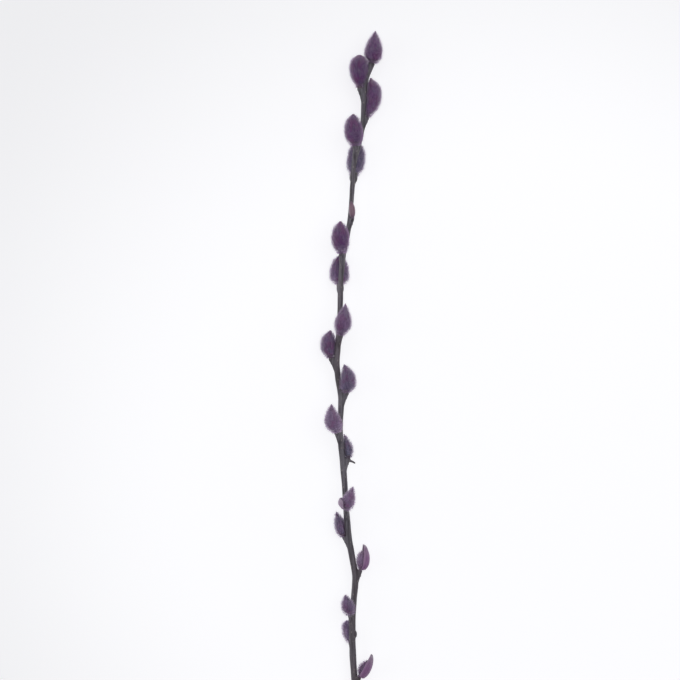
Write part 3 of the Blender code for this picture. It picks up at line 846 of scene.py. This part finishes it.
def build_cut(rings=14, sides=40):
    """The cut end's wood: a thin lens over the slanted section, from rings of points round the pith."""
    centre, normal = cut_centre(), unit(CUT_NORMAL)
    share = np.linspace(0, 1, rings + 1)[1:]
    angle = np.arange(sides) / sides * math.tau
    reach = stem_radius(STEM_PATH[0, 0]) * CUT_SHARE * share[:, None]
    x, z = reach * np.cos(angle), reach * np.sin(angle)
    face = np.stack((x, CUT_NORMAL[0] * x + CUT_NORMAL[2] * z, z), -1) + centre
    front = face + normal * (CUT_DOME * (1 - share[:, None, None] ** 8) + CUT_RAISED)
    back = face - normal * CUT_SUNK
    ends = np.stack((centre - normal * CUT_SUNK, centre + normal * (CUT_DOME + CUT_RAISED)))
    points = np.concatenate((np.concatenate((back, front[::-1])).reshape(-1, 3), ends))
    out = np.concatenate((np.repeat(share, sides), np.repeat(share[::-1], sides), (0.0, 0.0)))
    return closed_piece("cut_wood", points, (rings * 2, sides), {"out_from_pith": out}, cut_finish())


def outwards(thing):
    """Turns a closed piece's faces outwards."""
    skin = bmesh.new()
    skin.from_mesh(thing.data)
    bmesh.ops.recalc_face_normals(skin, faces=list(skin.faces))
    if skin.calc_volume(signed=True) < 0:
        bmesh.ops.reverse_faces(skin, faces=list(skin.faces))
    skin.to_mesh(thing.data)
    skin.free()


def core(catkin, seat, u, angle, inset):
    """Points of a catkin's body under its silk: the drop drawn in by inset, joined to the peg by a short
    neck, fuller on the side that faces the stem and there pressed off the bark."""
    full = fullness(u, catkin)
    height = SEAT_GAP + seat.length * u
    neck = seat.peg_radius * NECK_SHARE * (1 - smooth_step(height, *NECK_HEIGHTS))
    drawn_in = inset * smooth_step(full, 0.0, 0.5)
    inner = 1 + PRESSED_DEPTH * (1 - u**2) * seat.on_side * (np.cos(angle) < 0)
    wide = np.maximum(catkin.breadth / 2 * full - drawn_in, neck)
    deep = np.maximum((catkin.depth / 2 * full - drawn_in) * inner, neck)
    placed = seat.place(bowed(catkin, seat, u) + on_ellipse(angle, wide, deep))
    return off_the_bark(placed, seat, inset)


def bracts(rows, columns, share, angle):
    """How far bracts raise the skin, and how near each point is to its bract's tip, both 0 to 1. The
    bracts stand in rows, every second row half a step round. Each is a tongue that rises along its
    length, from a fifth of its height, and is round across and at its end; the highest over a point
    shows."""
    y = share * rows
    x = angle / math.tau * columns
    height = np.zeros(np.broadcast(x, y).shape)
    tip = np.zeros_like(height)
    for back in range(3):
        row = np.floor(y) - back
        shifted = x - 0.5 * np.mod(row, 2)
        t = (y - row) / BRACT_REACH
        half = BRACT_HALF_WIDTH * np.sqrt(np.clip(1 - t**4, 0, 1)) + 1e-6
        for beside in (0, 1):
            across = np.abs(shifted - (np.floor(shifted) + beside))
            inside = (across < half) & (t < 1)
            round_top = np.sqrt(np.clip(1 - (across / half) ** 2, 0, 1))
            candidate = np.where(inside, (0.2 + 0.8 * t) * (0.45 + 0.55 * round_top), 0.0)
            tip = np.where(candidate > height, t, tip)
            height = np.maximum(height, candidate)
    return height, tip


def bract_counts(catkin, seat):
    """How many rows of bracts a catkin has and how many stand round it."""
    girth = catkin.breadth + catkin.depth
    return max(10, round(seat.length * BRACT_ROWS)), max(9, round(girth * BRACTS_ROUND))


def body_grid(seat, rows, columns, crowding):
    """A ring grid over a drop, from just under its seat to its tip, as shares of its length and angles.
    Its rows crowd towards the ends: share w is moved back by crowding times sin(tau w) / tau."""
    w = np.linspace(0, 1, rows + 2)[1:-1]
    w = w - crowding / math.tau * np.sin(math.tau * w)
    low = -0.1 - SEAT_GAP
    u = (low + (seat.length - low) * w) / seat.length
    return np.meshgrid(u, np.arange(columns) / columns * math.tau, indexing="ij")


def body_ends(catkin, seat, u):
    """The two points on a drop's centreline that close its grid."""
    return seat.place(bowed(catkin, seat, np.array((u[0, 0] - 0.002, 0.9999))))


def build_bracts(catkin, settings, finish, rows=70, columns=60):
    """A catkin's body: the drop, drawn in to leave room for the silk, with its bracts raised on it."""
    seat = Seat(catkin)
    u, angle = body_grid(seat, rows, columns, 0.75)
    height, tip = bracts(*bract_counts(catkin, seat), np.clip(u, 0, 1), angle)
    fade = smooth_step(u, 0.0, 0.08) * (1 - smooth_step(u, 0.86, 1.0))
    points = core(catkin, seat, u, angle, settings.silk_depth)
    out = unit(points - seat.place(bowed(catkin, seat, u)))
    points = points + out * ((height - 0.35) * settings.bract_rise / MM * fade)[..., None]
    placed = clear_of_floor(np.concatenate((points.reshape(-1, 3), body_ends(catkin, seat, u))))
    carried = {
        "along": np.concatenate((np.clip(u, 0, 1).ravel(), (0.0, 1.0))),
        "bract_tip": np.concatenate(((tip * fade).ravel(), (0.0, 1.0))),
    }
    placed = off_the_bark(placed, seat, 0.1)
    return closed_piece(f"catkin_{catkin.number:02d}_bracts", placed, (rows, columns), carried, finish)


def on_the_body(catkin, seat, u, angle, depth):
    """Points on a catkin's body, and the ways on along it, round it and out of it there."""
    step = 0.004
    root = core(catkin, seat, u, angle, depth)
    ahead = unit(core(catkin, seat, u + step, angle, depth) - root)
    beside = unit(core(catkin, seat, u, angle + step, depth) - root)
    inside = seat.place(bowed(catkin, seat, u))
    return root, ahead, beside, turned_to(unit(np.cross(beside, ahead)), root - inside)


def varied(draw, shares, end):
    """Random shares of what is set: a least one and a range over it, less towards the catkin's tip."""
    least, span, lost = shares
    return (least + span * draw.random(len(end))) * (1 - lost * end)


def spindles(root, middle, tip, out, width):
    """Five points for each hair: its root, three round its middle and its tip."""
    direction = unit(tip - root)
    first = unit(np.cross(direction, out))
    second = np.cross(direction, first)
    ring = [
        middle + (first * math.cos(turn) + second * math.sin(turn)) * width
        for turn in (0.0, math.tau / 3, math.tau * 2 / 3)
    ]
    return np.stack((root, *ring, tip), axis=1)


def build_silk(catkin, settings, finish, draw):
    """A catkin's silk. Each hair is a closed spindle of six faces: a point sunk in the body, a bent
    middle of three points and a point at its tip. Roots fall over the body by its girth, and more of
    them at its foot. A hair leans towards the catkin's tip and stands up by its lift, and at the foot it
    turns out and back; none is longer than LONGEST_HAIR lets it be."""
    seat = Seat(catkin)
    length = settings.hair_length / MM
    girth_u = np.linspace(0.0, 0.985, 200)
    girth = fullness(girth_u, catkin)
    area = math.pi * (catkin.breadth + catkin.depth) / 2 * seat.length * girth.mean()
    count = int(area * settings.hairs_per_square_mm)
    spread = np.cumsum(girth + 0.08 + bell(girth_u, *FOOT_HAIRS))
    u = np.interp(draw.random(count) * spread[-1], spread, girth_u)
    angle = draw.random(count) * math.tau
    under = bracts(*bract_counts(catkin, seat), u, angle)[1]
    root, ahead, beside, out = on_the_body(catkin, seat, u, angle, settings.silk_depth)

    foot = 1 - smooth_step(u, 0.0, 0.13)
    end = smooth_step(u, 0.75, 1.0)
    lift = settings.hair_lift * varied(draw, LIFT_SHARES, end) + foot * FOOT_LIFT
    stray = (draw.random(count) - 0.5) * STRAY
    reach = length * varied(draw, REACH_SHARES, end) * (1 + (0.9 * catkin.fringe - 0.3) * foot)
    pick = draw.random(count)
    long = pick > 1 - settings.long_hairs
    reach = np.minimum(np.where(long, reach * STANDS_OUT, reach), length * LONGEST_HAIR)
    wave = (draw.random(count) - 0.5)[:, None]

    def heading(angle_up, sideways):
        forward = ahead * np.cos(angle_up)[:, None] + out * np.sin(angle_up)[:, None]
        return unit(forward + beside * sideways[:, None])

    middle = root + heading(lift * 1.15, stray) * (reach * HAIR_MIDDLE)[:, None]
    upper = heading(lift * 0.8, stray * 1.3) * (reach * (1 - HAIR_MIDDLE))[:, None]
    tip = middle + upper + beside * wave * WAVE
    width = settings.hair_width / MM / 2 * (0.7 + 0.6 * draw.random(count))[:, None]
    points = spindles(root - out * ROOT_SUNK, middle, tip, out, width)
    bare = draw.random(count) <= 0.5 * smooth_step(under, 0.7, 1.0)
    kept = (points[:, 0, 2] > FLOOR_CLEARANCE) & ~bare
    points = clear_of_floor(off_the_bark(points[kept], seat, 0.05))
    total = len(points)
    faces = np.array(((2, 1, 0), (3, 2, 0), (1, 3, 0), (1, 2, 4), (2, 3, 4), (3, 1, 4)))
    triangles = (np.arange(total)[:, None, None] * 5 + faces).reshape(-1, 3)
    carried = {
        "strand": np.tile((0.0, HAIR_MIDDLE, HAIR_MIDDLE, HAIR_MIDDLE, 1.0), total),
        "along": np.repeat(u[kept], 5),
        "pick": np.repeat(pick[kept], 5),
        "bract_tip": np.repeat(under[kept], 5),
    }
    name = f"catkin_{catkin.number:02d}_silk"
    piece = make_mesh(name, points.reshape(-1, 3), np.zeros((0, 4), int), triangles, carried)
    piece.data.materials.append(finish)
    return piece


def build_shut_bud(catkin, finish, rows=40, columns=36):
    """A bud still in its scale: a slim drop with a keel along its back and a girdle at its foot, its tip
    leaning to the stem, and a short neck down to its peg."""
    seat = Seat(catkin)
    u, angle = body_grid(seat, rows, columns, 0.7)
    points = core(catkin, seat, u, angle, 0.0)
    out = unit(points - seat.place(bowed(catkin, seat, u)))
    back = np.minimum(angle, math.tau - angle)
    keel = bell(back, *KEEL) * smooth_step(u, 0.05, 0.5)
    points = points + out * ((keel + bell(u, *GIRDLE)) * (1 - u))[..., None]
    points -= seat.turn[1] * (BUD_TIP_LEAN * smooth_step(u, 0.6, 1.0))[..., None]
    ends = body_ends(catkin, seat, u)
    ends[1] -= seat.turn[1] * BUD_TIP_LEAN
    placed = clear_of_floor(np.concatenate((points.reshape(-1, 3), ends)))
    carried = {"along": np.concatenate((np.clip(u, 0, 1).ravel(), (0.0, 1.0)))}
    placed = off_the_bark(placed, seat, 0.03)
    return closed_piece(f"closed_bud_{catkin.number:02d}_skin", placed, (rows, columns), carried, finish)


def scale_sheet(scale, catkin, seat, across, v):
    """Points of a bud scale's inner face. across runs -1 to 1 over its width and v 0 to 1 up it: it
    follows the catkin's skin a little way off and narrows by a rounded curve to a tip that stands out."""
    facing, span = math.radians(scale.facing), math.radians(scale.span)
    stretch = max(scale.top, 1.0)
    hem = 1 - SCALE_HEM * across**2 * (1 - v)
    u = scale.foot + (scale.top - scale.foot) * v * hem
    foot_radius = seat.peg_radius * (1 - np.maximum(u, 0.0) / stretch)
    narrowing = SCALE_TIP_SHARE + (1 - SCALE_TIP_SHARE) * np.sqrt(np.clip(1 - v**SCALE_TAPER, 0, 1))
    full = fullness(u / stretch, catkin, stretch)
    clear = SCALE_CLEARANCE * (1 - 0.45 * across**6)
    ring = on_ellipse(
        facing - across * span * narrowing,
        np.maximum(catkin.breadth / 2 * full, foot_radius) + clear,
        np.maximum(catkin.depth / 2 * full, foot_radius) + clear,
    )
    flare = on_ellipse(np.full_like(v, facing), scale.flare, scale.flare) * (v**2)[..., None]
    return bowed(catkin, seat, u) + ring + flare


def build_scale(scale, catkin, finish, rows=36, columns=33):
    """A bud scale with its thickness: the sheet and a second one outside it, closed round the edge, thick
    in the middle, thin at the margin, with low veins up its length."""
    seat = Seat(catkin)
    v, across = np.meshgrid(np.linspace(0, 1, rows), np.linspace(-1, 1, columns), indexing="ij")
    inner = scale_sheet(scale, catkin, seat, across, v)
    out = unit(np.cross(np.gradient(inner, axis=0), np.gradient(inner, axis=1)))
    inside = bowed(catkin, seat, np.clip(v, 0, 1))
    out = turned_to(out, (inner - inside) * np.array((1, 1, 0)))
    edge = (1 - np.abs(across) ** 4) * (1 - v**6)
    margin, middle, vein = SCALE_THICKNESS
    veins = vein * np.cos(across * math.tau * 2.5) * edge
    outer = inner + out * (margin + middle * edge + veins)[..., None]
    inner = inner + out * (0.02 * edge)[..., None]
    ring = np.concatenate((outer, inner[:, ::-1]), axis=1)
    ends = np.stack((ring[0].mean(0), ring[-1].mean(0)))
    placed = clear_of_floor(seat.place(np.concatenate((ring.reshape(-1, 3), ends))))
    sides = np.abs(np.concatenate((across, across[:, ::-1]), axis=1))
    carried = {
        "across": np.concatenate((sides.ravel(), (0.0, 0.0))),
        "along": np.concatenate((np.concatenate((v, v), axis=1).ravel(), (0.0, 1.0))),
    }
    return closed_piece(f"bud_scale_{scale.number:02d}_sheet", placed, (rows, columns * 2), carried, finish)


def stands_for(piece, node):
    """Hides the solid that a piece takes the place of, and makes the piece move with the twig."""
    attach(piece, BODY)
    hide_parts(node)


def colour(name, description, default):
    """A colour to set."""
    return bpy.props.FloatVectorProperty(
        name=name, description=description, default=default, size=3, min=0.0, max=1.0, subtype="COLOR"
    )


def length(name, description, default, low, high):
    """A length to set, in metres."""
    return bpy.props.FloatProperty(
        name=name, description=description, default=default, min=low, max=high,
        precision=5, subtype="DISTANCE", unit="LENGTH",
    )


def number(name, description, default, high, low=0.0):
    """A plain number to set."""
    return bpy.props.FloatProperty(name=name, description=description, default=default, min=low, max=high)


class WillowBarkSettings(bpy.types.PropertyGroup):
    """Sizes and colours of the bark, the buds and their scales."""

    bark_voxel: length(
        "Bark Detail", "Size of the voxels that melt the pegs into the stem", 0.00024, 0.0001, 0.001
    )
    bark_light: colour("Bark Streaks", "The bark's lighter streaks", (0.213, 0.194, 0.231))
    bark_dark: colour("Bark", "The bark's main colour", (0.073, 0.065, 0.080))
    bark_flush: colour("Bark Flush", "The warm flush in patches of the bark", (0.130, 0.081, 0.091))
    lenticel: colour("Lenticels", "The bark's fine pale pores", (0.351, 0.305, 0.286))
    bud_colour: colour("Shut Buds", "The scale of a bud that is still shut", (0.242, 0.150, 0.170))
    scale_foot: colour("Scale Foot", "A bud scale near the stem", (0.342, 0.171, 0.358))
    scale_tip: colour("Scale Tip", "A bud scale at its tip", (0.465, 0.412, 0.475))
    scale_vein: colour("Scale Veins", "The veins and flecks of a bud scale", (0.195, 0.072, 0.208))
    scale_margin: colour("Scale Margin", "The thin pale edge of a bud scale", (0.624, 0.494, 0.650))


class WillowCatkinSettings(bpy.types.PropertyGroup):
    """Colours and sizes of the catkins' bracts and silk."""

    plum: colour("Plum", "The main colour of the catkins", (0.140, 0.006, 0.190))
    # Grey violet: the catkins' own greyer tone and grey patches, and also painted shade on catkins that lie
    # in shade.
    dusk: colour("Dusk", "The grey violet that some catkins turn to", (0.176, 0.184, 0.299))
    lilac: colour("Lilac", "The pale colour where the silk is thick", (0.850, 0.560, 0.920))
    foot_silk: colour("Foot Silk", "The silk at a catkin's foot", (0.832, 0.670, 0.941))
    tip_silk: colour("Tip Silk", "The silk at a catkin's tip", (0.688, 0.480, 0.470))
    # Partly the silk's own pale tip and partly a painted glow of backlight.
    hair_tip_and_painted_glow: colour("Hair Tip", "The pale end of a hair", (0.702, 0.384, 0.881))
    blush: colour("Blush", "The redder patches of a catkin", (0.220, 0.010, 0.152))
    bract_shade: colour("Bract Tips", "The dark tips of the bracts under the silk", (0.025, 0.010, 0.028))

    bract_rise: length("Bract Rise", "How far a bract's tip stands above its foot", 0.00032, 0.0, 0.001)
    silk_depth: number(
        "Silk Depth", "How far the body is drawn in under the silk, in millimetres", 0.70, 1.5
    )
    hair_length: length("Hair Length", "Length of a hair of the silk", 0.0016, 0.0002, 0.004)
    hair_width: length("Hair Width", "Thickness of a hair at its widest", 0.000042, 0.00001, 0.0002)
    hair_lift: bpy.props.FloatProperty(
        name="Hair Lift", description="How far a hair stands up from the body",
        default=math.radians(62), min=0.0, max=math.radians(80), subtype="ANGLE", unit="ROTATION",
    )
    long_hairs: number("Long Hairs", "Share of the hairs that stand out half as long again", 0.10, 1.0)
    hairs_per_square_mm: number("Hairs", "Hairs on a square millimetre of a catkin", 30.0, 60.0, 1.0)


class WillowStageSettings(bpy.types.PropertyGroup):
    """The surface that the twig lies on and its light."""

    floor_colour: colour("Surface", "Colour of the surface", (0.93, 0.93, 0.95))
    # How far the surface's glow falls off at its edges, a painted falloff of light.
    floor_edge: number(
        "Surface Edge", "How bright the surface is far from the twig, next to its middle", 0.82, 1.0
    )
    floor_glow: number("Surface Glow", "Light that the surface gives off, as a light table does", 0.85, 2.0)
    light_power: bpy.props.FloatProperty(
        name="Light", description="Power of the large soft light overhead",
        default=6.5, min=0.0, max=200.0, subtype="POWER", unit="POWER",
    )
    sky: number("Sky", "Strength of the even light from all round", 0.22, 2.0)


class WILLOW_OT_bark(bpy.types.Operator):
    """Builds the stem's bark with its pegs and leaf scars"""

    bl_idname = "willow.bark"
    bl_label = "Build Bark"

    def execute(self, context):
        stands_for(build_bark(context.scene.willow_bark), "stem")
        return {"FINISHED"}


class WILLOW_OT_cut_end(bpy.types.Operator):
    """Builds the pale wood of the slanted cut"""

    bl_idname = "willow.cut_end"
    bl_label = "Build Cut End"

    def execute(self, context):
        piece = build_cut()
        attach(piece, BODY)
        return {"FINISHED"}


class WILLOW_OT_catkins(bpy.types.Operator):
    """Builds every catkin's body of overlapping bracts"""

    bl_idname = "willow.catkins"
    bl_label = "Build Catkins"

    def execute(self, context):
        settings = context.scene.willow_catkins
        for catkin in CATKINS:
            piece = build_bracts(catkin, settings, bract_finish(catkin, settings))
            stands_for(piece, f"catkin_{catkin.number:02d}")
        return {"FINISHED"}


class WILLOW_OT_silk(bpy.types.Operator):
    """Grows the silk on every catkin"""

    bl_idname = "willow.silk"
    bl_label = "Grow Silk"

    def execute(self, context):
        settings = context.scene.willow_catkins
        for catkin in CATKINS:
            draw = np.random.default_rng(SEED + catkin.number)
            piece = build_silk(catkin, settings, silk_finish(catkin, settings), draw)
            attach(piece, BODY)
        return {"FINISHED"}


class WILLOW_OT_shut_buds(bpy.types.Operator):
    """Builds the buds that are still shut"""

    bl_idname = "willow.shut_buds"
    bl_label = "Build Shut Buds"

    def execute(self, context):
        finish = bud_finish(context.scene.willow_bark)
        for bud in SHUT_BUDS:
            stands_for(build_shut_bud(bud, finish), f"closed_bud_{bud.number:02d}")
        return {"FINISHED"}


class WILLOW_OT_bud_scales(bpy.types.Operator):
    """Builds the papery scales beside opened buds"""

    bl_idname = "willow.bud_scales"
    bl_label = "Build Bud Scales"

    def execute(self, context):
        for scale in BUD_SCALES:
            finish = scale_finish(scale, context.scene.willow_bark)
            catkin = next(one for one in CATKINS if one.number == scale.number)
            stands_for(build_scale(scale, catkin, finish), f"bud_scale_{scale.number:02d}")
        return {"FINISHED"}


class WILLOW_OT_stage(bpy.types.Operator):
    """Lays the pale surface, hangs the soft lights and sets the camera to look straight down"""

    bl_idname = "willow.stage"
    bl_label = "Set Stage"

    def execute(self, context):
        settings = context.scene.willow_stage
        corners = np.array(((-1, -1, 0), (1, -1, 0), (1, 1, 0), (-1, 1, 0))) * SURFACE_REACH
        floor = make_mesh("surface", corners, np.array(((0, 1, 2, 3),)), np.zeros((0, 3), int))
        floor.data.materials.append(floor_finish(settings))
        for name, place, side, share in LIGHTS:
            self.light(name, place, side, settings.light_power * share)
        self.sky(context, settings.sky)
        self.camera(context)
        context.scene.view_settings.view_transform = "Standard"
        return {"FINISHED"}

    def light(self, name, place, side, power):
        """Hangs a square soft light that looks at the origin."""
        data = bpy.data.lights.new(name, "AREA")
        data.shape = "SQUARE"
        data.size = side
        data.energy = power
        lamp = linked(name, data)
        lamp.location = place
        x, y, z = place
        lamp.rotation_euler = (math.atan2(math.hypot(x, y), z), 0.0, math.atan2(x, -y))

    def sky(self, context, strength):
        """Gives the world its even light."""
        world = bpy.data.worlds.new("even_light")
        world.use_nodes = True
        background = world.node_tree.nodes["Background"]
        background.inputs["Color"].default_value = SKY_COLOUR
        background.inputs["Strength"].default_value = strength
        context.scene.world = world

    def camera(self, context):
        """Puts the camera over the photograph's middle, as far off as its width in millimetres asks."""
        data = bpy.data.cameras.new("from_above")
        data.lens = LENS
        data.sensor_width = SENSOR
        camera = linked("from_above", data)
        distance = PHOTO_PIXELS * PIXEL * LENS / SENSOR
        camera.location = (PHOTO_CENTRE[0] * MM, PHOTO_CENTRE[1] * MM, (distance + TWIG_HEIGHT) * MM)
        context.scene.camera = camera


STEPS = ("bark", "cut_end", "catkins", "silk", "shut_buds", "bud_scales", "stage")


class VIEW3D_PT_willow(bpy.types.Panel):
    """Lists the twig's settings and the operators that build it"""

    bl_label = "Willow Twig"
    bl_idname = "VIEW3D_PT_willow"
    bl_space_type = "VIEW_3D"
    bl_region_type = "UI"
    bl_category = "Willow Twig"

    def draw(self, context):
        for name in GROUPS:
            group = getattr(context.scene, name)
            box = self.layout.box()
            for key in group.bl_rna.properties.keys():
                if key not in ("rna_type", "name"):
                    box.prop(group, key)
        for step in STEPS:
            self.layout.operator("willow." + step)


GROUPS = {
    "willow_bark": WillowBarkSettings,
    "willow_catkins": WillowCatkinSettings,
    "willow_stage": WillowStageSettings,
}
CLASSES = (
    *GROUPS.values(),
    WILLOW_OT_bark,
    WILLOW_OT_cut_end,
    WILLOW_OT_catkins,
    WILLOW_OT_silk,
    WILLOW_OT_shut_buds,
    WILLOW_OT_bud_scales,
    WILLOW_OT_stage,
    VIEW3D_PT_willow,
)


def register():
    for one in CLASSES:
        bpy.utils.register_class(one)
    for name, group in GROUPS.items():
        setattr(bpy.types.Scene, name, bpy.props.PointerProperty(type=group))


def unregister():
    for name in GROUPS:
        delattr(bpy.types.Scene, name)
    for one in reversed(CLASSES):
        bpy.utils.unregister_class(one)


def main():
    register()
    for step in STEPS:
        getattr(bpy.ops.willow, step)()


if __name__ == "__main__":
    main()
